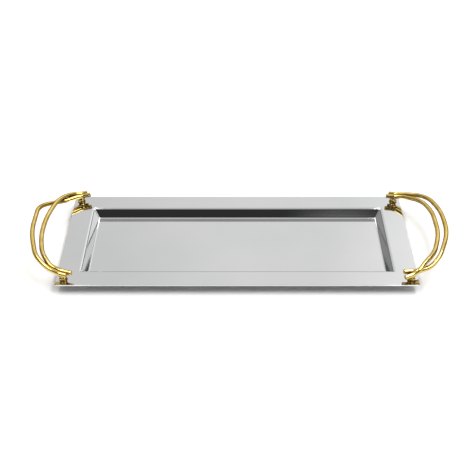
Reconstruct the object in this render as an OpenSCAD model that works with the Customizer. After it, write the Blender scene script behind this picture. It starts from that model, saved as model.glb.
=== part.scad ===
// Rectangular serving tray: one pressed sheet, and at each end a handle of two bent rods on two turned posts.
// Frame: origin under the middle of the well floor, +X along the tray, +Y towards its back, +Z up. Millimetres.

/* [Tray] */

// Length of the tray over the rim
tray_length = 457; // [380:1:560]
// Width of the tray over the rim
tray_width = 200; // [195:1:260]
// Flat width of the rim, from the outer edge to the bend into the well
rim_width = 26.5; // [22:0.5:34]
// Depth of the well, from the rim to the floor
well_depth = 12; // [10:0.5:24]
// Slope of the well walls above the horizontal, in degrees
wall_slope = 57; // [45:1:75]
// Thickness of the sheet
sheet_t = 1.5; // [1:0.1:2]
// Inside radius of the bends in the sheet
bend_r = 2.5; // [2:0.25:4]
// Radius of the outer corners, seen from above
corner_r = 2; // [1:0.5:6]

/* [Handles] */

// Diameter of the handle rods
rod_d = 6; // [5:0.25:6]
// Reach of the right handle's outer loop beyond the end of the tray, to its centre line
right_reach = 44.5; // [42:0.5:50]
// Reach of the left handle's outer loop beyond the end of the tray, to its centre line
left_reach = 40; // [39.5:0.5:46]
// Distance between the two loops at the middle of the right handle, centre to centre
right_gap = 10.8; // [10:0.1:12.4]
// Distance between the two loops at the middle of the left handle, centre to centre
left_gap = 13; // [12.2:0.1:13.2]
// Upward slope of the handle, in degrees
handle_tilt = 17; // [15:1:20]
// Usual length of a rod's end past the post's axis, towards the middle of the tray
rod_tail = 11; // [8:0.5:14]

/* [Posts] */

// Distance from the end of the tray to the posts' axes
post_inset_x = 9.5; // [9:0.5:11]
// Distance from the long edges of the tray to the posts' axes
post_inset_y = 12; // [11:0.5:14]
// Diameter of a post at its head and foot
post_d = 10.5; // [10:0.25:12]
// Diameter of a post at its waist
waist_d = 8.4; // [8:0.1:9.5]
// Height of the rods' centre lines above the rim, over the posts
rod_height = 10.4; // [10:0.1:12]

/* [Fasteners] */

// Nominal diameter of the screws under the rim
screw_d = 4; // [3:0.5:4]
// Length of screw inside a post
screw_reach = 4.5; // [4:0.1:5]
// Thickness of the washers
washer_t = 0.8; // [0.5:0.1:1]

/* [Part] */

/* [Hidden] */

$fn = 64;
over = 1;
fit_gap = 0.05;

half_x = tray_length / 2;
half_y = tray_width / 2;
rim_z = well_depth + sheet_t;

// The section of a well wall: bend at the rim, straight slope, bend at the foot.
rim_bend_r = bend_r + sheet_t;
foot_bend_r = bend_r;
slope_drop = well_depth - (rim_bend_r + foot_bend_r) * (1 - cos(wall_slope));
wall_run = (rim_bend_r + foot_bend_r) * sin(wall_slope) + slope_drop / tan(wall_slope);

post_x = half_x - post_inset_x;
post_y = half_y - post_inset_y;
hole_d = screw_d + 0.3;
head_d = 1.8 * screw_d;
head_h = 0.6 * screw_d;
socket_d = 0.62 * screw_d;
washer_d = 2.25 * screw_d;
bore_depth = screw_reach + 0.5;
saddle_rise = 0.2 * rod_d;
post_h = rod_height - rod_d / 2 + saddle_rise;
flange_h = 1.3;

// Rod centre lines. The two rods of a handle touch, but for a hair, over each post.
rod_spacing = rod_d + 0.5;
near_y = post_y - rod_spacing / 2;
far_y = post_y + rod_spacing / 2;
right_outer_out = right_reach + post_inset_x;
right_inner_out = right_outer_out - right_gap;
left_outer_out = left_reach + post_inset_x;
left_inner_out = left_outer_out - left_gap;
flat_out = 2;
bend_share = 0.47;

// The bends of the sheet are a hair large, so they cross the flats next to them instead of only touching them.
bend_cross = 0.02;

// Each straight runs a hair into the bends at its ends, and the bends are a hair thicker, so the pieces join cleanly.
joint_lap = 0.05;
bend_swell = 0.02;

steel = [0.80, 0.81, 0.82];
brass = [0.83, 0.66, 0.30];
dark_steel = [0.55, 0.56, 0.58];

// ---------- tray ----------

// Half section under a wall surface: top_r and foot_r are the radii of its two bends, low and high its end heights.
module half_section(edge, run_in, low, high, top_r, foot_r) {
  top_c = [edge, rim_z - rim_bend_r];
  foot_c = [edge - run_in, sheet_t + foot_bend_r];
  top_end = top_c + top_r * [-sin(wall_slope), cos(wall_slope)];
  foot_end = foot_c + foot_r * [sin(wall_slope), -cos(wall_slope)];
  difference() {
    union() {
      polygon([[0, low], [foot_c.x, low], foot_end, top_end, [edge, top_c.y + top_r], [edge, high], [0, high]]);
      intersection() {
        translate(foot_c) circle(foot_r + bend_cross);
        translate([0, low]) square([edge, 2 * foot_r]);
      }
    }
    translate(top_c) circle(top_r + bend_cross);
  }
}

module full_section(edge, low, high, top_r, foot_r) {
  half_section(edge, wall_run, low, high, top_r, foot_r);
  mirror([1, 0]) half_section(edge, wall_run, low, high, top_r, foot_r);
}

// A pan shape: the space that two crossing wall sections share, with true mitres at its corners.
module pan(low, high, top_r, foot_r) {
  edge_x = half_x - rim_width;
  edge_y = half_y - rim_width;
  intersection() {
    translate([0, half_y, 0])
      rotate([90, 0, 0])
        linear_extrude(tray_width)
          full_section(edge_x, low, high, top_r, foot_r);
    translate([-half_x, 0, 0])
      rotate([90, 0, 90])
        linear_extrude(tray_length)
          full_section(edge_y, low, high, top_r, foot_r);
  }
}

module rim_outline() {
  square([tray_length - 2 * corner_r, tray_width], center = true);
  square([tray_length, tray_width - 2 * corner_r], center = true);
  for (sx = [-1, 1], sy = [-1, 1])
    translate([sx * (half_x - corner_r), sy * (half_y - corner_r)])
      circle(corner_r);
}

module tray() {
  color(steel)
    difference() {
      union() {
        translate([0, 0, well_depth]) linear_extrude(sheet_t) rim_outline();
        pan(0, rim_z - sheet_t / 2, bend_r, foot_bend_r + sheet_t);
      }
      pan(sheet_t, rim_z + over, rim_bend_r, foot_bend_r);
      for (sx = [-1, 1], sy = [-1, 1])
        translate([sx * post_x, sy * post_y, well_depth - over])
          cylinder(d = hole_d, h = sheet_t + 2 * over);
    }
}

// ---------- handle rods ----------

function unit(v) = v / norm(v);

// A point of a rod's centre line: out from the post's axis, along the handle, and lifted off the handle's slope.
function at(out, along, lift = 0) =
  [post_x + out, along, rim_z + rod_height + tan(handle_tilt) * max(out - flat_out, 0) + lift];

// A rod's cut end. share is its part of the usual length, lean its slope towards the long edge of the tray,
// and drop its slope downwards.
function tail(share, along, lean, drop = 0) =
  let (run = flat_out + share * rod_tail)
  at(flat_out - run, along + sign(along) * lean * run, -drop * run);

// Each handle is bent by hand, so each has its own corners, given for a handle at the right end of the tray.
// An inner loop climbs over the other rod near one post, and ends on the far side of that post.
// An outer loop dips under the other rod there, and ends on the near side of the post.
right_inner_path = [
  tail(1, near_y, 0.14),
  at(flat_out, near_y),
  at(0.29 * right_inner_out, 0.9 * post_y),
  at(0.78 * right_inner_out, 0.68 * post_y),
  at(right_inner_out, 0.32 * post_y),
  at(right_inner_out, -0.25 * post_y),
  at(0.745 * right_inner_out, -0.67 * post_y, 0.08 * rod_d),
  at(0.4 * right_inner_out, -0.877 * post_y, 0.38 * rod_d),
  at(0.25 * right_inner_out, -0.985 * post_y, 0.38 * rod_d),
  at(flat_out, -far_y),
  tail(0.85, -far_y, 0.45, 0.12)
];
right_outer_path = [
  tail(0.6, far_y, 0.14),
  at(flat_out, far_y),
  at(0.21 * right_outer_out, 0.988 * post_y),
  at(0.77 * right_outer_out, 0.774 * post_y),
  at(right_outer_out, 0.3 * post_y),
  at(right_outer_out, -0.28 * post_y),
  at(0.715 * right_outer_out, -0.742 * post_y, -0.3 * rod_d),
  at(0.475 * right_outer_out, -0.883 * post_y, -1.05 * rod_d),
  at(0.167 * right_outer_out, -0.94 * post_y, -0.68 * rod_d),
  at(flat_out, -near_y),
  tail(0.9, -near_y, -0.1)
];
left_inner_path = [
  tail(1, near_y, 0.34),
  at(flat_out, near_y),
  at(0.47 * left_inner_out, 0.902 * post_y),
  at(0.833 * left_inner_out, 0.642 * post_y),
  at(left_inner_out, 0.248 * post_y),
  at(left_inner_out, -0.214 * post_y),
  at(0.773 * left_inner_out, -0.662 * post_y, 0.32 * rod_d),
  at(0.553 * left_inner_out, -0.851 * post_y, 0.28 * rod_d),
  at(0.3 * left_inner_out, -0.986 * post_y),
  at(flat_out, -far_y),
  tail(0.75, -far_y, 0.34)
];
left_outer_path = [
  tail(0.45, far_y, 0.34),
  at(flat_out, far_y),
  at(0.4 * left_outer_out, 0.965 * post_y),
  at(0.735 * left_outer_out, 0.765 * post_y),
  at(left_outer_out, 0.23 * post_y),
  at(left_outer_out, -0.41 * post_y),
  at(0.83 * left_outer_out, -0.62 * post_y, -0.65 * rod_d),
  at(0.422 * left_outer_out, -0.819 * post_y, -0.82 * rod_d),
  at(0.24 * left_outer_out, -0.88 * post_y, -0.33 * rod_d),
  at(flat_out, -near_y),
  tail(1.2, -near_y, 0.34)
];

// Length cut from each leg by the bend at corner i, and the turn of that bend.
function leg(p, i) = norm(p[i + 1] - p[i]);
function setback(p, i) = bend_share * min(leg(p, i - 1), leg(p, i));
function turn(p, i) = acos(unit(p[i] - p[i - 1]) * unit(p[i + 1] - p[i]));

// A round bar from a to b.
module bar(a, b, d) {
  v = unit(b - a);
  translate(a)
    rotate([0, acos(v.z), atan2(v.y, v.x)])
      cylinder(d = d, h = norm(b - a));
}

// The bend at corner i: part of a ring, tangent to both legs.
module bend(p, i, d) {
  into = unit(p[i] - p[i - 1]);
  out = unit(p[i + 1] - p[i]);
  r = setback(p, i) / tan(turn(p, i) / 2);
  start = p[i] - setback(p, i) * into;
  toward_centre = unit(out - into * (into * out));
  axis = cross(into, toward_centre);
  centre = start + r * toward_centre;
  translate(centre)
    rotate([atan2(into.z, axis.z), asin(toward_centre.z), atan2(-toward_centre.y, -toward_centre.x)])
      rotate_extrude(angle = turn(p, i))
        translate([r, 0]) circle(d = d + bend_swell);
}

// A rod bent along the points of p.
module bent_rod(p, d) {
  last = len(p) - 1;
  for (i = [1 : last - 1]) bend(p, i, d);
  for (i = [0 : last - 1]) {
    v = unit(p[i + 1] - p[i]);
    a = i == 0 ? p[0] : p[i] + (setback(p, i) - joint_lap) * v;
    b = i == last - 1 ? p[last] : p[i + 1] - (setback(p, i + 1) - joint_lap) * v;
    bar(a, b, d);
  }
}

// Takes a piece of the left handle from the right end of the tray, where its corners are given, to the left end.
module half_turn(left) {
  rotate([0, 0, left ? 180 : 0]) children();
}

module rod(path, left) {
  color(brass) half_turn(left) bent_rod(path, rod_d);
}

// ---------- posts and fasteners ----------

// The legs of a path near its first or last end, enough to cut its seat in a post.
function first_legs(p) = [for (i = [0 : 3]) p[i]];
function last_legs(p) = [for (i = [len(p) - 4 : len(p) - 1]) p[i]];

module post_body() {
  waist_depth = (post_d - waist_d) / 2;
  waist_h = post_h - 2 * flange_h - saddle_rise;
  waist_r = (pow(waist_h / 2, 2) + pow(waist_depth, 2)) / (2 * waist_depth);
  rotate_extrude()
    difference() {
      square([post_d / 2, post_h]);
      translate([waist_d / 2 + waist_r, flange_h + waist_h / 2]) circle(waist_r);
      square([screw_d / 2 + fit_gap, bore_depth]);
    }
}

// A post under the first ends of a handle's two rods, or at_last under their last ends, with a seat for each rod.
module seated_post(paths, at_last) {
  difference() {
    translate([post_x, at_last ? -post_y : post_y, rim_z]) post_body();
    for (p = paths) bent_rod(at_last ? last_legs(p) : first_legs(p), rod_d + 2 * fit_gap);
  }
}

module post(left, front) {
  paths = left ? [left_inner_path, left_outer_path] : [right_inner_path, right_outer_path];
  color(brass) half_turn(left) seated_post(paths, at_last = left ? !front : front);
}

module at_post(left, front) {
  translate([left ? -post_x : post_x, front ? -post_y : post_y, 0]) children();
}

module screw(left, front) {
  under_washer = well_depth - washer_t;
  color(dark_steel)
    at_post(left, front)
      difference() {
        union() {
          translate([0, 0, under_washer - head_h]) cylinder(d = head_d, h = head_h);
          translate([0, 0, under_washer]) cylinder(d = screw_d, h = washer_t + sheet_t + screw_reach);
        }
        translate([0, 0, under_washer - head_h - over]) cylinder(d = socket_d, h = 0.6 * head_h + over);
      }
}

module washer(left, front) {
  color(dark_steel)
    at_post(left, front)
      translate([0, 0, well_depth - washer_t])
        difference() {
          cylinder(d = washer_d, h = washer_t);
          translate([0, 0, -over]) cylinder(d = hole_d, h = washer_t + 2 * over);
        }
}

// ---------- output ----------

tray();
rod(right_inner_path, left = false);  // right_inner_rod
rod(right_outer_path, left = false);  // right_outer_rod
rod(left_inner_path, left = true);  // left_inner_rod
rod(left_outer_path, left = true);  // left_outer_rod
post(left = false, front = true);  // post_right_front
post(left = false, front = false);  // post_right_back
post(left = true, front = true);  // post_left_front
post(left = true, front = false);  // post_left_back
screw(left = false, front = true);  // screw_right_front
screw(left = false, front = false);  // screw_right_back
screw(left = true, front = true);  // screw_left_front
screw(left = true, front = false);  // screw_left_back
washer(left = false, front = true);  // washer_right_front
washer(left = false, front = false);  // washer_right_back
washer(left = true, front = true);  // washer_left_front
washer(left = true, front = false);  // washer_left_back
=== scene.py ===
"""A polished steel tray with two twin-rod brass handles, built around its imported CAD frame. Metres."""

import math

import bpy
import numpy as np
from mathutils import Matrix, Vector


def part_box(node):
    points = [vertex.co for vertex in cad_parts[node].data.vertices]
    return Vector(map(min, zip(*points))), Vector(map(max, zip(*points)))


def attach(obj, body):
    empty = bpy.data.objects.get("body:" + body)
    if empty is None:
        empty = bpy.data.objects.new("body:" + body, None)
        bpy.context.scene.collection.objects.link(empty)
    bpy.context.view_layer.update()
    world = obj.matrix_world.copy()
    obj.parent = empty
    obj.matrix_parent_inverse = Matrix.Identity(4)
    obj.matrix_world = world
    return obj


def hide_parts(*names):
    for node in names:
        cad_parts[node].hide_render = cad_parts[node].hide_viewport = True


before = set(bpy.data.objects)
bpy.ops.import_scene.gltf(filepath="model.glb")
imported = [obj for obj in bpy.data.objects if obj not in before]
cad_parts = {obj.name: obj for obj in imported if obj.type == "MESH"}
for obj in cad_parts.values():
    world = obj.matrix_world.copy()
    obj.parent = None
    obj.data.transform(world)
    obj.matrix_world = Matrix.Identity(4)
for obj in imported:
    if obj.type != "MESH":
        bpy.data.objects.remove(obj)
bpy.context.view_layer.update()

MM = 0.001

# ---------- sizes: most come from the frame, the rest are the part's own driving dimensions ----------

tray_low, tray_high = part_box("tray")
HALF_X = tray_high.x
HALF_Y = tray_high.y
RIM_Z = tray_high.z
SHEET = 1.5 * MM
RIM_WIDTH = 26.5 * MM
BEND_R = 2.5 * MM
WALL_SLOPE = math.radians(57)
RIM_CORNER_R = 2.0 * MM

post_low, post_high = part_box("post_right_back")
POST_X = (post_low.x + post_high.x) / 2
POST_Y = (post_low.y + post_high.y) / 2
POST_R = (post_high.x - post_low.x) / 2
POST_H = post_high.z - RIM_Z
WAIST_R = 4.2 * MM
FLANGE_H = 1.3 * MM

ROD_R = 3.0 * MM
ROD_D = 2 * ROD_R
SADDLE_RISE = 0.2 * ROD_D
ROD_TAIL = 11.0 * MM
ROD_SPACING = ROD_D + 0.5 * MM
ROD_HEIGHT = 10.4 * MM
HANDLE_TILT = math.radians(17)
BEND_SHARE = 0.47
FLAT_OUT = 2.0 * MM
RIGHT_OUTER_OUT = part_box("right_outer_rod")[1].x - ROD_R - POST_X
RIGHT_INNER_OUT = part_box("right_inner_rod")[1].x - ROD_R - POST_X
LEFT_OUTER_OUT = -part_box("left_outer_rod")[0].x - ROD_R - POST_X
LEFT_INNER_OUT = -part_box("left_inner_rod")[0].x - ROD_R - POST_X

WELL_DEPTH = RIM_Z - SHEET
WASHER_R = 4.5 * MM
WASHER_T = 0.8 * MM
HOLE_R = 2.15 * MM
SCREW_R = 2.0 * MM
SCREW_REACH = 4.5 * MM
HEAD_R = 3.6 * MM
HEAD_H = 2.4 * MM
SOCKET_APOTHEM = 1.24 * MM
SOCKET_DEPTH = 0.6 * HEAD_H

CORNERS = [
    ("right_back", 1, 1), ("right_front", 1, -1),
    ("left_back", -1, 1), ("left_front", -1, -1),
]


# ---------- mesh helpers ----------

def make_piece(name, verts, faces, material, cad_node):
    """A smooth-shaded mesh piece that rides on the one body and stands for a CAD node."""
    mesh = bpy.data.meshes.new(name)
    mesh.from_pydata([tuple(v) for v in verts], [], faces)
    mesh.validate()
    mesh.shade_smooth()
    piece = bpy.data.objects.new(name, mesh)
    bpy.context.scene.collection.objects.link(piece)
    mesh.materials.append(material)
    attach(piece, "root")
    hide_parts(cad_node)
    return piece


def bridge(first, second, count):
    """Quads between two closed rings of count points that start at vertices first and second."""
    return [
        (first + i, first + (i + 1) % count, second + (i + 1) % count, second + i)
        for i in range(count)
    ]


def skin_rings(rings):
    """Vertices and faces of a closed skin over rings of equal length, with a face on each end ring."""
    count = len(rings[0])
    faces = [tuple(reversed(range(count)))]
    for k in range(len(rings) - 1):
        faces += bridge(k * count, (k + 1) * count, count)
    last = (len(rings) - 1) * count
    faces.append(tuple(range(last, last + count)))
    return np.concatenate(rings), faces


def arc(centre, radius, start, end, steps):
    """Points (across, z) of an arc. Angles are from straight up, turning towards +across."""
    angles = np.linspace(start, end, steps + 1)
    return [(centre[0] + radius * math.sin(a), centre[1] + radius * math.cos(a)) for a in angles]


# ---------- tray ----------

CORNER_STEPS = 6
SIDE_STEPS = 16
SUPPORT = 0.4 * MM
WALL_SUPPORTS = (0.06, 0.94)
FLOOR_RING = 6 * MM
CUT_EDGE_R = 0.2 * MM
MITRE_R_TOP = 1.6 * MM
MITRE_R_FOOT = 0.9 * MM
RIM_EDGE_CORNER_R = 1.4 * MM
RING_CORNERS = np.array([(1, 1), (-1, 1), (-1, -1), (1, -1)])


def side_shares(length):
    """Where the points of one straight side lie: spread evenly, with one close to each end."""
    edge = min(SUPPORT / length, 0.2)
    return np.concatenate(([0.0, edge], np.linspace(0, 1, SIDE_STEPS + 1)[1:-1], [1 - edge, 1.0]))


def outwards(degrees):
    """The unit vector at an angle from +X, seen from above."""
    angle = math.radians(degrees)
    return np.array([math.cos(angle), math.sin(angle)])


def rectangle_ring(inset, z, radius):
    """A ring round the tray, inset from its outer edge, with rounded corners."""
    half = np.array([HALF_X - inset, HALF_Y - inset])
    points = []
    for k in range(4):
        centre = RING_CORNERS[k] * (half - radius)
        next_centre = RING_CORNERS[(k + 1) % 4] * (half - radius)
        for degrees in np.linspace(k * 90, k * 90 + 90, CORNER_STEPS + 1):
            points.append(centre + radius * outwards(degrees))
        start = points[-1]
        end = next_centre + radius * outwards(k * 90 + 90)
        for share in side_shares(np.linalg.norm(end - start))[1:-1]:
            points.append(start + share * (end - start))
    return np.array([(x, y, z) for x, y in points])


def wall_points(start, end):
    """The two points that hold a straight wall straight between its bends."""
    start, end = np.array(start), np.array(end)
    return [tuple(start + share * (end - start)) for share in WALL_SUPPORTS]


def tray_profile():
    """(inset, z, corner radius) from the floor's top, over the rim's edge, to the floor's underside."""
    rim_r, foot_r = BEND_R + SHEET, BEND_R
    drop = WELL_DEPTH - (rim_r + foot_r) * (1 - math.cos(WALL_SLOPE))
    run = (rim_r + foot_r) * math.sin(WALL_SLOPE) + drop / math.tan(WALL_SLOPE)
    rim_c = (RIM_WIDTH, RIM_Z - rim_r)
    foot_c = (RIM_WIDTH + run, SHEET + foot_r)
    down = math.pi

    def mitred(points):
        """The points with the radius of their corners, which gets smaller down the well's mitres."""
        shares = [min(max((inset - RIM_WIDTH) / run, 0), 1) for inset, _ in points]
        radii = [MITRE_R_TOP + share * (MITRE_R_FOOT - MITRE_R_TOP) for share in shares]
        return [(inset, z, radius) for (inset, z), radius in zip(points, radii)]

    top = [(foot_c[0] + FLOOR_RING, SHEET), (foot_c[0] + SUPPORT, SHEET)]
    top += arc(foot_c, foot_r, down, down + WALL_SLOPE, 10)
    rim_bend = arc(rim_c, rim_r, WALL_SLOPE, 0, 14)
    top += wall_points(top[-1], rim_bend[0])
    top += rim_bend
    top.append((RIM_WIDTH - SUPPORT, RIM_Z))

    edge = [(CUT_EDGE_R + SUPPORT, RIM_Z)]
    edge += arc((CUT_EDGE_R, RIM_Z - CUT_EDGE_R), CUT_EDGE_R, 0, -math.pi / 2, 5)
    edge += arc((CUT_EDGE_R, RIM_Z - SHEET + CUT_EDGE_R), CUT_EDGE_R, -math.pi / 2, -math.pi, 5)
    edge.append((CUT_EDGE_R + SUPPORT, RIM_Z - SHEET))

    under = [(RIM_WIDTH - SUPPORT, RIM_Z - SHEET)]
    under += arc(rim_c, BEND_R, 0, WALL_SLOPE, 14)
    foot_bend = arc(foot_c, foot_r + SHEET, down + WALL_SLOPE, down, 10)
    under += wall_points(under[-1], foot_bend[0])
    under += foot_bend
    under += [(foot_c[0] + SUPPORT, 0.0), (foot_c[0] + FLOOR_RING, 0.0)]

    rim_edge = [(inset, z, max(RIM_CORNER_R - inset, RIM_EDGE_CORNER_R)) for inset, z in edge]
    return mitred(top) + rim_edge + mitred(under)


def build_tray(material):
    rings = [rectangle_ring(inset, z, radius) for inset, z, radius in tray_profile()]
    verts, faces = skin_rings(rings)
    faces = [tuple(reversed(f)) for f in faces]
    return make_piece("tray_sheet", verts, faces, material, "tray")


# ---------- handle rods ----------

NEAR_Y = POST_Y - ROD_SPACING / 2
FAR_Y = POST_Y + ROD_SPACING / 2


def at(out, along, lift=0.0):
    """A rod's centre point: out from the post's axis, along the handle, lifted off the handle's slope."""
    rise = math.tan(HANDLE_TILT) * max(out - FLAT_OUT, 0)
    return np.array([POST_X + out, along, RIM_Z + ROD_HEIGHT + rise + lift])


def tail(share, along, lean, drop=0.0):
    """A rod's cut end: its share of the usual length, its slope to the tray's long edge, its slope down."""
    run = FLAT_OUT + share * ROD_TAIL
    return at(FLAT_OUT - run, along + math.copysign(lean * run, along), -drop * run)


# Each handle's corners are given for the right end of the tray. An inner loop climbs over the other rod
# near one post and ends on the far side of that post. An outer loop dips under it there and ends on the
# near side.
RIGHT_INNER_CORNERS = [
    tail(1, NEAR_Y, 0.14),
    at(FLAT_OUT, NEAR_Y),
    at(0.29 * RIGHT_INNER_OUT, 0.9 * POST_Y),
    at(0.78 * RIGHT_INNER_OUT, 0.68 * POST_Y),
    at(RIGHT_INNER_OUT, 0.32 * POST_Y),
    at(RIGHT_INNER_OUT, -0.25 * POST_Y),
    at(0.745 * RIGHT_INNER_OUT, -0.67 * POST_Y, 0.08 * ROD_D),
    at(0.4 * RIGHT_INNER_OUT, -0.877 * POST_Y, 0.38 * ROD_D),
    at(0.25 * RIGHT_INNER_OUT, -0.985 * POST_Y, 0.38 * ROD_D),
    at(FLAT_OUT, -FAR_Y),
    tail(0.85, -FAR_Y, 0.45, 0.12),
]
RIGHT_OUTER_CORNERS = [
    tail(0.6, FAR_Y, 0.14),
    at(FLAT_OUT, FAR_Y),
    at(0.21 * RIGHT_OUTER_OUT, 0.988 * POST_Y),
    at(0.77 * RIGHT_OUTER_OUT, 0.774 * POST_Y),
    at(RIGHT_OUTER_OUT, 0.3 * POST_Y),
    at(RIGHT_OUTER_OUT, -0.28 * POST_Y),
    at(0.715 * RIGHT_OUTER_OUT, -0.742 * POST_Y, -0.3 * ROD_D),
    at(0.475 * RIGHT_OUTER_OUT, -0.883 * POST_Y, -1.05 * ROD_D),
    at(0.167 * RIGHT_OUTER_OUT, -0.94 * POST_Y, -0.68 * ROD_D),
    at(FLAT_OUT, -NEAR_Y),
    tail(0.9, -NEAR_Y, -0.1),
]
LEFT_INNER_CORNERS = [
    tail(1, NEAR_Y, 0.34),
    at(FLAT_OUT, NEAR_Y),
    at(0.47 * LEFT_INNER_OUT, 0.902 * POST_Y),
    at(0.833 * LEFT_INNER_OUT, 0.642 * POST_Y),
    at(LEFT_INNER_OUT, 0.248 * POST_Y),
    at(LEFT_INNER_OUT, -0.214 * POST_Y),
    at(0.773 * LEFT_INNER_OUT, -0.662 * POST_Y, 0.32 * ROD_D),
    at(0.553 * LEFT_INNER_OUT, -0.851 * POST_Y, 0.28 * ROD_D),
    at(0.3 * LEFT_INNER_OUT, -0.986 * POST_Y),
    at(FLAT_OUT, -FAR_Y),
    tail(0.75, -FAR_Y, 0.34),
]
LEFT_OUTER_CORNERS = [
    tail(0.45, FAR_Y, 0.34),
    at(FLAT_OUT, FAR_Y),
    at(0.4 * LEFT_OUTER_OUT, 0.965 * POST_Y),
    at(0.735 * LEFT_OUTER_OUT, 0.765 * POST_Y),
    at(LEFT_OUTER_OUT, 0.23 * POST_Y),
    at(LEFT_OUTER_OUT, -0.41 * POST_Y),
    at(0.83 * LEFT_OUTER_OUT, -0.62 * POST_Y, -0.65 * ROD_D),
    at(0.422 * LEFT_OUTER_OUT, -0.819 * POST_Y, -0.82 * ROD_D),
    at(0.24 * LEFT_OUTER_OUT, -0.88 * POST_Y, -0.33 * ROD_D),
    at(FLAT_OUT, -NEAR_Y),
    tail(1.2, -NEAR_Y, 0.34),
]


def unit(v):
    return v / np.linalg.norm(v)


def bent_line(corners):
    """The centre line through the corners, each rounded by a bend tangent to both of its legs."""
    line = [corners[0]]
    for i in range(1, len(corners) - 1):
        into = unit(corners[i] - corners[i - 1])
        out = unit(corners[i + 1] - corners[i])
        legs = [np.linalg.norm(corners[i + k] - corners[i + k - 1]) for k in (0, 1)]
        setback = BEND_SHARE * min(legs)
        turn = math.acos(float(np.clip(into @ out, -1, 1)))
        radius = setback / math.tan(turn / 2)
        start = corners[i] - setback * into
        side = unit(out - into * (into @ out))
        centre = start + radius * side
        steps = max(6, int(math.degrees(turn) / 1.5))
        for a in np.linspace(0, turn, steps + 1):
            line.append(centre - radius * math.cos(a) * side + radius * math.sin(a) * into)
    line.append(corners[-1])
    return np.array(line)


def spaced(line, step):
    """The line's points at even steps, so that the tube's rings are regular."""
    lengths = np.concatenate(([0], np.cumsum(np.linalg.norm(np.diff(line, axis=0), axis=1))))
    count = int(lengths[-1] / step)
    wanted = np.linspace(0, lengths[-1], count + 1)
    return np.stack([np.interp(wanted, lengths, line[:, k]) for k in range(3)], axis=1)


ROD_SIDES = 40
ROD_EDGE = 0.45 * MM
ROD_RING_STEP = 1.2 * MM
END_RINGS = (0.15 * ROD_R, ROD_R - ROD_EDGE - 0.25 * MM)


def tube_rings(line):
    """Rings round the line, with a small rounded edge at both cut ends."""
    tangents = np.gradient(line, axis=0)
    tangents /= np.linalg.norm(tangents, axis=1)[:, None]
    side = unit(np.cross(tangents[0], [0, 0, 1]))
    angles = np.linspace(0, 2 * math.pi, ROD_SIDES, endpoint=False)
    frames = []
    for tangent in tangents:
        side = unit(side - tangent * (side @ tangent))
        frames.append((side, np.cross(tangent, side)))

    def ring(k, shift, radius):
        u, v = frames[k]
        centre = line[k] + shift * tangents[k]
        return centre + radius * (np.cos(angles)[:, None] * u + np.sin(angles)[:, None] * v)

    last = len(line) - 1
    turns = np.linspace(0, math.pi / 2, 5)
    edge = [(ROD_EDGE * (1 - math.cos(a)), ROD_R - ROD_EDGE * (1 - math.sin(a))) for a in turns]
    rings = [ring(0, 0, radius) for radius in END_RINGS]
    rings += [ring(0, depth, radius) for depth, radius in edge]
    rings += [ring(k, 0, ROD_R) for k in range(1, last)]
    rings += [ring(last, -depth, radius) for depth, radius in reversed(edge)]
    rings += [ring(last, 0, radius) for radius in reversed(END_RINGS)]
    return rings


def build_rod(name, corners, left, material):
    """A rod through its corners. A left handle's corners take half a turn about the tray's middle."""
    turn = np.array([-1, -1, 1]) if left else np.array([1, 1, 1])
    line = spaced(bent_line([corner * turn for corner in corners]), ROD_RING_STEP)
    verts, faces = skin_rings(tube_rings(line))
    return make_piece(name + "_brass", verts, faces, material, name)


# ---------- turned pieces ----------

POST_FOOT_EASE = 0.25 * MM
POST_BEAD_EASE = 0.3 * MM
POST_HEAD_EASE = 0.4 * MM
WAIST_STEP = 0.35 * MM
SOCKET_LIP = 0.12 * MM
HEAD_EDGE = 0.5 * MM
HEAD_DOME = 0.7 * MM


def lathe(profile, place, sides=64):
    """Vertices and faces of a closed skin turned from (radius, z, hexagonal) points."""
    angles = np.linspace(0, 2 * math.pi, sides, endpoint=False)
    sixth = math.pi / 3
    hexagon = 1 / np.cos(np.mod(angles, sixth) - sixth / 2)
    rings = []
    for radius, z, hexed in profile:
        r = radius * (hexagon if hexed else np.ones(sides))
        rings.append(np.stack([r * np.cos(angles), r * np.sin(angles), np.full(sides, z)], axis=1) + place)
    return skin_rings(rings)


def plain(points):
    return [(r, z, False) for r, z in points]


def rounded(points, radius, steps=3):
    """An open (r, z) outline with its inner corners rounded."""
    done = [points[0]]
    for i in range(1, len(points) - 1):
        p = np.array(points[i])
        a, b = np.array(points[i - 1]) - p, np.array(points[i + 1]) - p
        cut = min(radius, 0.45 * np.linalg.norm(a), 0.45 * np.linalg.norm(b))
        start, end = p + unit(a) * cut, p + unit(b) * cut
        for t in np.linspace(0, 1, steps + 1):
            done.append(tuple((1 - t) ** 2 * start + 2 * t * (1 - t) * p + t ** 2 * end))
    done.append(points[-1])
    return done


def build_post(name, sx, sy, material):
    """A post turned with a bead at its foot and head and a hollow waist. The rods sink into its head."""
    waist_low, waist_high = FLANGE_H, POST_H - SADDLE_RISE - FLANGE_H
    waist_mid = (waist_low + waist_high) / 2
    waist = []
    for t in np.linspace(-1, 1, 13):
        r = WAIST_R + (POST_R - WAIST_STEP - WAIST_R) * t * t
        waist.append((r, waist_mid + t * (waist_high - waist_low) / 2))
    outline = [(0.1 * POST_R, 0.0), (POST_R - POST_FOOT_EASE, 0.0), (POST_R, POST_FOOT_EASE)]
    outline += [(POST_R, waist_low - POST_BEAD_EASE), (POST_R - POST_BEAD_EASE, waist_low)]
    outline += waist[1:-1]
    outline += [(POST_R - POST_BEAD_EASE, waist_high), (POST_R, waist_high + POST_BEAD_EASE)]
    outline += [(POST_R, POST_H - POST_HEAD_EASE), (POST_R - POST_HEAD_EASE, POST_H), (0.1 * POST_R, POST_H)]
    place = np.array([sx * POST_X, sy * POST_Y, RIM_Z])
    verts, faces = lathe(plain(rounded(outline, 0.25 * MM)), place)
    return make_piece("post_turned_" + name, verts, faces, material, "post_" + name)


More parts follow.
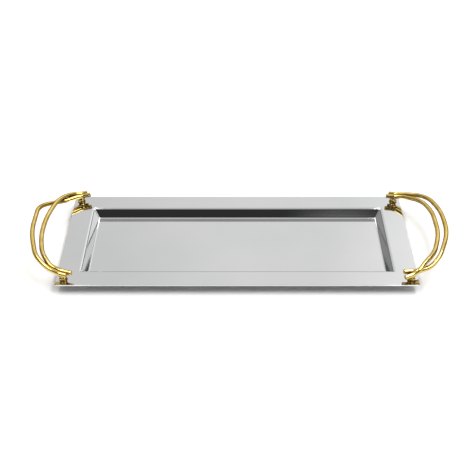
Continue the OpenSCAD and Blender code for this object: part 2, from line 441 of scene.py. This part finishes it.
def build_screw(name, sx, sy, material):
    """The screw from below: a domed head with a hexagonal socket, and the shank up into the post."""
    top = WELL_DEPTH - WASHER_T
    low = top - HEAD_H
    socket_top = low + SOCKET_DEPTH
    shank_top = WELL_DEPTH + SHEET + SCREW_REACH
    socket = [(0.2 * SOCKET_APOTHEM, socket_top), (SOCKET_APOTHEM, socket_top)]
    socket += [(SOCKET_APOTHEM, socket_top - 0.05 * MM), (SOCKET_APOTHEM, low + 0.15 * MM)]
    socket.append((SOCKET_APOTHEM + SOCKET_LIP, low))
    head = [(SOCKET_APOTHEM + 5 * SOCKET_LIP, low), (HEAD_R - HEAD_EDGE, low), (HEAD_R, low + HEAD_DOME)]
    head += [(HEAD_R, top), (SCREW_R, top), (SCREW_R, shank_top), (0.3 * SCREW_R, shank_top)]
    profile = [(r, z, True) for r, z in socket] + plain(rounded(head, 0.3 * MM))
    verts, faces = lathe(profile, np.array([sx * POST_X, sy * POST_Y, 0.0]), 48)
    return make_piece("screw_socket_" + name, verts, faces, material, "screw_" + name)


def build_washer(name, sx, sy, material):
    """A flat washer. Its skin has no end faces: its last ring joins its first inside the hole."""
    low, top = WELL_DEPTH - WASHER_T, WELL_DEPTH
    place = np.array([sx * POST_X, sy * POST_Y, 0.0])
    middle = (HOLE_R, (low + top) / 2)
    outline = [middle, (HOLE_R, low), (WASHER_R, low), (WASHER_R, top), (HOLE_R, top), middle]
    profile = rounded(outline, 0.15 * MM)[:-1]
    sides = 64
    verts, faces = lathe(plain(profile), place, sides)
    faces = faces[1:-1] + bridge((len(profile) - 1) * sides, 0, sides)
    return make_piece("washer_flat_" + name, verts, faces, material, "washer_" + name)


# ---------- materials ----------

# The mix node's sockets of type colour share their names with its other sockets, so they are taken by place.
MIX_COLOUR_A = 6
MIX_COLOUR_B = 7
MIX_COLOUR_RESULT = 2


def new_material(name):
    material = bpy.data.materials.new(name)
    material.use_nodes = True
    tree = material.node_tree
    tree.nodes.clear()
    output = tree.nodes.new("ShaderNodeOutputMaterial")
    shader = tree.nodes.new("ShaderNodeBsdfPrincipled")
    tree.links.new(shader.outputs["BSDF"], output.inputs["Surface"])
    return material, tree, shader


def noise(tree, scale, detail=4.0, stretch=(1, 1, 1)):
    """A noise value over the piece, in cycles per metre, multiplied along each axis by stretch."""
    place = tree.nodes.new("ShaderNodeTexCoord")
    mapping = tree.nodes.new("ShaderNodeMapping")
    mapping.inputs["Scale"].default_value = [scale * s for s in stretch]
    texture = tree.nodes.new("ShaderNodeTexNoise")
    texture.inputs["Scale"].default_value = 1.0
    texture.inputs["Detail"].default_value = detail
    tree.links.new(place.outputs["Object"], mapping.inputs["Vector"])
    tree.links.new(mapping.outputs["Vector"], texture.inputs["Vector"])
    return texture.outputs["Fac"]


def ramp(tree, value, stops):
    """A colour ramp on value, with stops of (position, colour)."""
    node = tree.nodes.new("ShaderNodeValToRGB")
    elements = node.color_ramp.elements
    while len(elements) > 1:
        elements.remove(elements[-1])
    elements[0].position = stops[0][0]
    elements[0].color = (*stops[0][1], 1)
    for position, colour in stops[1:]:
        elements.new(position).color = (*colour, 1)
    tree.links.new(value, node.inputs["Fac"])
    return node.outputs["Color"]


def grey_ramp(tree, value, stops):
    return ramp(tree, value, [(position, (grey, grey, grey)) for position, grey in stops])


def painted_hollow_shade(tree, colour, painted_shade_colour, reach):
    """The colour, darkened by painted shade where other metal lies within reach, in hollows and between
    parts.
    """
    openness = tree.nodes.new("ShaderNodeAmbientOcclusion")
    openness.samples = 8
    openness.inputs["Distance"].default_value = reach
    shade = ramp(tree, openness.outputs["AO"], [(0.35, painted_shade_colour), (0.9, (1, 1, 1))])
    mix = tree.nodes.new("ShaderNodeMix")
    mix.data_type = "RGBA"
    mix.blend_type = "MULTIPLY"
    mix.inputs["Factor"].default_value = 1.0
    tree.links.new(colour, mix.inputs[MIX_COLOUR_A])
    tree.links.new(shade, mix.inputs[MIX_COLOUR_B])
    return mix.outputs[MIX_COLOUR_RESULT]


def add_bump(tree, shader, layers):
    """Bump layers (height value, distance in metres), chained into the shader's normal."""
    normal = None
    for height, distance in layers:
        bump = tree.nodes.new("ShaderNodeBump")
        bump.inputs["Strength"].default_value = 1.0
        bump.inputs["Distance"].default_value = distance
        tree.links.new(height, bump.inputs["Height"])
        if normal is not None:
            tree.links.new(normal, bump.inputs["Normal"])
        normal = bump.outputs["Normal"]
    tree.links.new(normal, shader.inputs["Normal"])


def polished_steel():
    """Mirror-polished sheet: faint smudges, hairlines, and shallow waves that bend its reflections."""
    material, tree, shader = new_material("polished_steel")
    smudge = noise(tree, 22, 5)
    tint = noise(tree, 9, 2)
    hairline = noise(tree, 1800, 2, (0.02, 1, 1))
    shader.inputs["Metallic"].default_value = 1.0
    colour = ramp(tree, tint, [(0.3, (0.612, 0.615, 0.618)), (0.7, (0.647, 0.647, 0.647))])
    tree.links.new(colour, shader.inputs["Base Color"])
    tree.links.new(grey_ramp(tree, smudge, [(0.35, 0.035), (0.75, 0.075)]), shader.inputs["Roughness"])
    buckle = noise(tree, 14, 1)
    along_x = noise(tree, 260, 2, (0.04, 1, 1))
    along_y = noise(tree, 260, 2, (1, 0.04, 1))
    layers = [(hairline, 0.0012 * MM), (buckle, 0.02 * MM), (along_x, 0.006 * MM), (along_y, 0.006 * MM)]
    add_bump(tree, shader, layers)
    return material


def polished_brass():
    """Hand-polished brass: blotches of tarnish, a fine grain, and painted shade in the hollows."""
    material, tree, shader = new_material("polished_brass")
    tarnish = noise(tree, 90, 6)
    grain = noise(tree, 1500, 3)
    shader.inputs["Metallic"].default_value = 1.0
    shader.inputs["Specular Tint"].default_value = (0.35, 0.20, 0.04, 1)
    tones = [(0.25, (0.62, 0.44, 0.10)), (0.55, (0.75, 0.56, 0.19)), (0.8, (0.85, 0.67, 0.31))]
    colour = ramp(tree, tarnish, tones)
    # Painted shade: the brass colour is darkened in hollows and between parts, wherever other metal is near.
    shaded_colour = painted_hollow_shade(tree, colour, (0.24, 0.14, 0.03), 9 * MM)
    tree.links.new(shaded_colour, shader.inputs["Base Color"])
    tree.links.new(grey_ramp(tree, tarnish, [(0.3, 0.07), (0.7, 0.03)]), shader.inputs["Roughness"])
    add_bump(tree, shader, [(grain, 0.001 * MM), (noise(tree, 160, 2), 0.01 * MM)])
    return material


def fastener_steel():
    """Dull zinc plate with a fine mottle."""
    material, tree, shader = new_material("fastener_steel")
    mottle = noise(tree, 700, 5)
    shader.inputs["Metallic"].default_value = 1.0
    colour = ramp(tree, mottle, [(0.3, (0.42, 0.43, 0.45)), (0.7, (0.60, 0.61, 0.64))])
    tree.links.new(colour, shader.inputs["Base Color"])
    tree.links.new(grey_ramp(tree, mottle, [(0.3, 0.42), (0.7, 0.26)]), shader.inputs["Roughness"])
    add_bump(tree, shader, [(noise(tree, 3000, 3), 0.008 * MM)])
    return material


def pale_floor():
    """Matt white paper, a little uneven in tone."""
    material, tree, shader = new_material("pale_floor")
    paper = noise(tree, 3, 3)
    colour = grey_ramp(tree, paper, [(0.3, 0.90), (0.7, 0.92)])
    tree.links.new(colour, shader.inputs["Base Color"])
    shader.inputs["Roughness"].default_value = 0.9
    shader.inputs["Specular IOR Level"].default_value = 0.0
    return material


# ---------- studio ----------

FLOOR_SIZE = 12.0
LAMP_DISTANCE = 2.2
LAMP_SIZE = (2.0, 0.62)


def add_floor():
    half = FLOOR_SIZE / 2
    corners = [(-half, -half, 0), (half, -half, 0), (half, half, 0), (-half, half, 0)]
    mesh = bpy.data.meshes.new("studio_floor")
    mesh.from_pydata(corners, [], [(0, 1, 2, 3)])
    floor = bpy.data.objects.new("studio_floor", mesh)
    bpy.context.scene.collection.objects.link(floor)
    mesh.materials.append(pale_floor())


def add_softbox(name, direction, power):
    """A long lamp above one end of the tray, facing it. Its long side runs from front to back."""
    light = bpy.data.lights.new(name, "AREA")
    light.shape = "RECTANGLE"
    light.size, light.size_y = LAMP_SIZE
    light.energy = power
    lamp = bpy.data.objects.new(name, light)
    lamp.location = Vector(direction).normalized() * LAMP_DISTANCE
    lamp.rotation_euler = (-lamp.location).to_track_quat("-Z", "Y").to_euler()
    bpy.context.scene.collection.objects.link(lamp)


def direction_weight(tree, direction, towards, inner, outer):
    """1 within inner degrees of a direction, 0 beyond outer degrees, smooth between."""
    dot = tree.nodes.new("ShaderNodeVectorMath")
    dot.operation = "DOT_PRODUCT"
    dot.inputs[1].default_value = Vector(towards).normalized()
    tree.links.new(direction, dot.inputs[0])
    step = tree.nodes.new("ShaderNodeMapRange")
    step.interpolation_type = "SMOOTHSTEP"
    step.inputs["From Min"].default_value = math.cos(math.radians(outer))
    step.inputs["From Max"].default_value = math.cos(math.radians(inner))
    tree.links.new(dot.outputs["Value"], step.inputs["Value"])
    return step.outputs["Result"]


WORLD_BASE = 0.3

# (direction, angle to which a patch is at full strength, angle at which it ends, brightness). A later patch
# lies over the earlier ones.
WORLD_PATCHES = [
    # The backdrop, which the flat steel mirrors, a little brighter at the right, and the ceiling over it.
    ((0.0, 1.0, 0.70), 30, 52, 1.25),
    ((-0.45, 1.0, 0.75), 8, 20, 1.09),
    ((0.64, 1.0, 0.80), 10, 22, 1.70),
    ((0.0, 0.2, 1.0), 6, 24, 0.71),
    ((0.0, 0.6, 1.0), 5, 13, 1.43),
    # The dark room behind the camera, which the back wall of the well mirrors, with a dim lamp in it.
    ((0.0, -1.0, 0.55), 24, 40, 0.048),
    ((0.12, -1.0, 0.52), 1.5, 5, 0.36),
    # Shade all round at the height of the floor, which edges the rods.
    ((0.0, 0.0, -1.0), 98, 114, 0.14),
    # A pale panel above the camera, and one at each side, which the side walls of the well mirror.
    ((0.0, -0.45, 1.0), 10, 22, 1.0),
    ((-0.607, -0.32, 0.73), 12, 22, 0.75),
    ((0.607, -0.32, 0.73), 12, 22, 2.0),
]


def add_world():
    """The studio's surroundings: one brightness, and patches of others laid over it by direction."""
    world = bpy.data.worlds.new("studio")
    bpy.context.scene.world = world
    world.use_nodes = True
    tree = world.node_tree
    tree.nodes.clear()
    direction = tree.nodes.new("ShaderNodeTexCoord").outputs["Generated"]
    base = tree.nodes.new("ShaderNodeValue")
    base.outputs[0].default_value = WORLD_BASE
    level = base.outputs[0]
    for towards, inner, outer, brightness in WORLD_PATCHES:
        mix = tree.nodes.new("ShaderNodeMix")
        mix.inputs["B"].default_value = brightness
        tree.links.new(direction_weight(tree, direction, towards, inner, outer), mix.inputs["Factor"])
        tree.links.new(level, mix.inputs["A"])
        level = mix.outputs["Result"]
    background = tree.nodes.new("ShaderNodeBackground")
    output = tree.nodes.new("ShaderNodeOutputWorld")
    tree.links.new(level, background.inputs["Strength"])
    tree.links.new(background.outputs["Background"], output.inputs["Surface"])


CAMERA_ELEVATION = math.radians(36)
CAMERA_DISTANCE = 1.274
CAMERA_LENS = 72.4
CAMERA_AIM = (0.3 * MM, 0.0, RIM_Z + 1.1 * MM)


def add_camera():
    """A camera in front of the tray and above it, aimed at the middle of the rim's plane."""
    back = Vector((0, -math.cos(CAMERA_ELEVATION), math.sin(CAMERA_ELEVATION)))
    data = bpy.data.cameras.new("camera")
    data.lens = CAMERA_LENS
    data.clip_start = 0.05
    camera = bpy.data.objects.new("camera", data)
    camera.location = Vector(CAMERA_AIM) + CAMERA_DISTANCE * back
    camera.rotation_euler = (-back).to_track_quat("-Z", "Y").to_euler()
    bpy.context.scene.collection.objects.link(camera)
    bpy.context.scene.camera = camera


# ---------- build ----------

steel = polished_steel()
brass = polished_brass()
zinc = fastener_steel()

build_tray(steel)
build_rod("right_inner_rod", RIGHT_INNER_CORNERS, False, brass)
build_rod("right_outer_rod", RIGHT_OUTER_CORNERS, False, brass)
build_rod("left_inner_rod", LEFT_INNER_CORNERS, True, brass)
build_rod("left_outer_rod", LEFT_OUTER_CORNERS, True, brass)
for corner_name, sx, sy in CORNERS:
    build_post(corner_name, sx, sy, brass)
    build_screw(corner_name, sx, sy, zinc)
    build_washer(corner_name, sx, sy, zinc)

add_floor()
add_world()
add_softbox("right_light", (0.40, 0.0, 1.0), 31)
add_softbox("left_light", (-0.40, 0.0, 1.0), 22)
add_camera()
bpy.context.scene.view_settings.view_transform = "Standard"
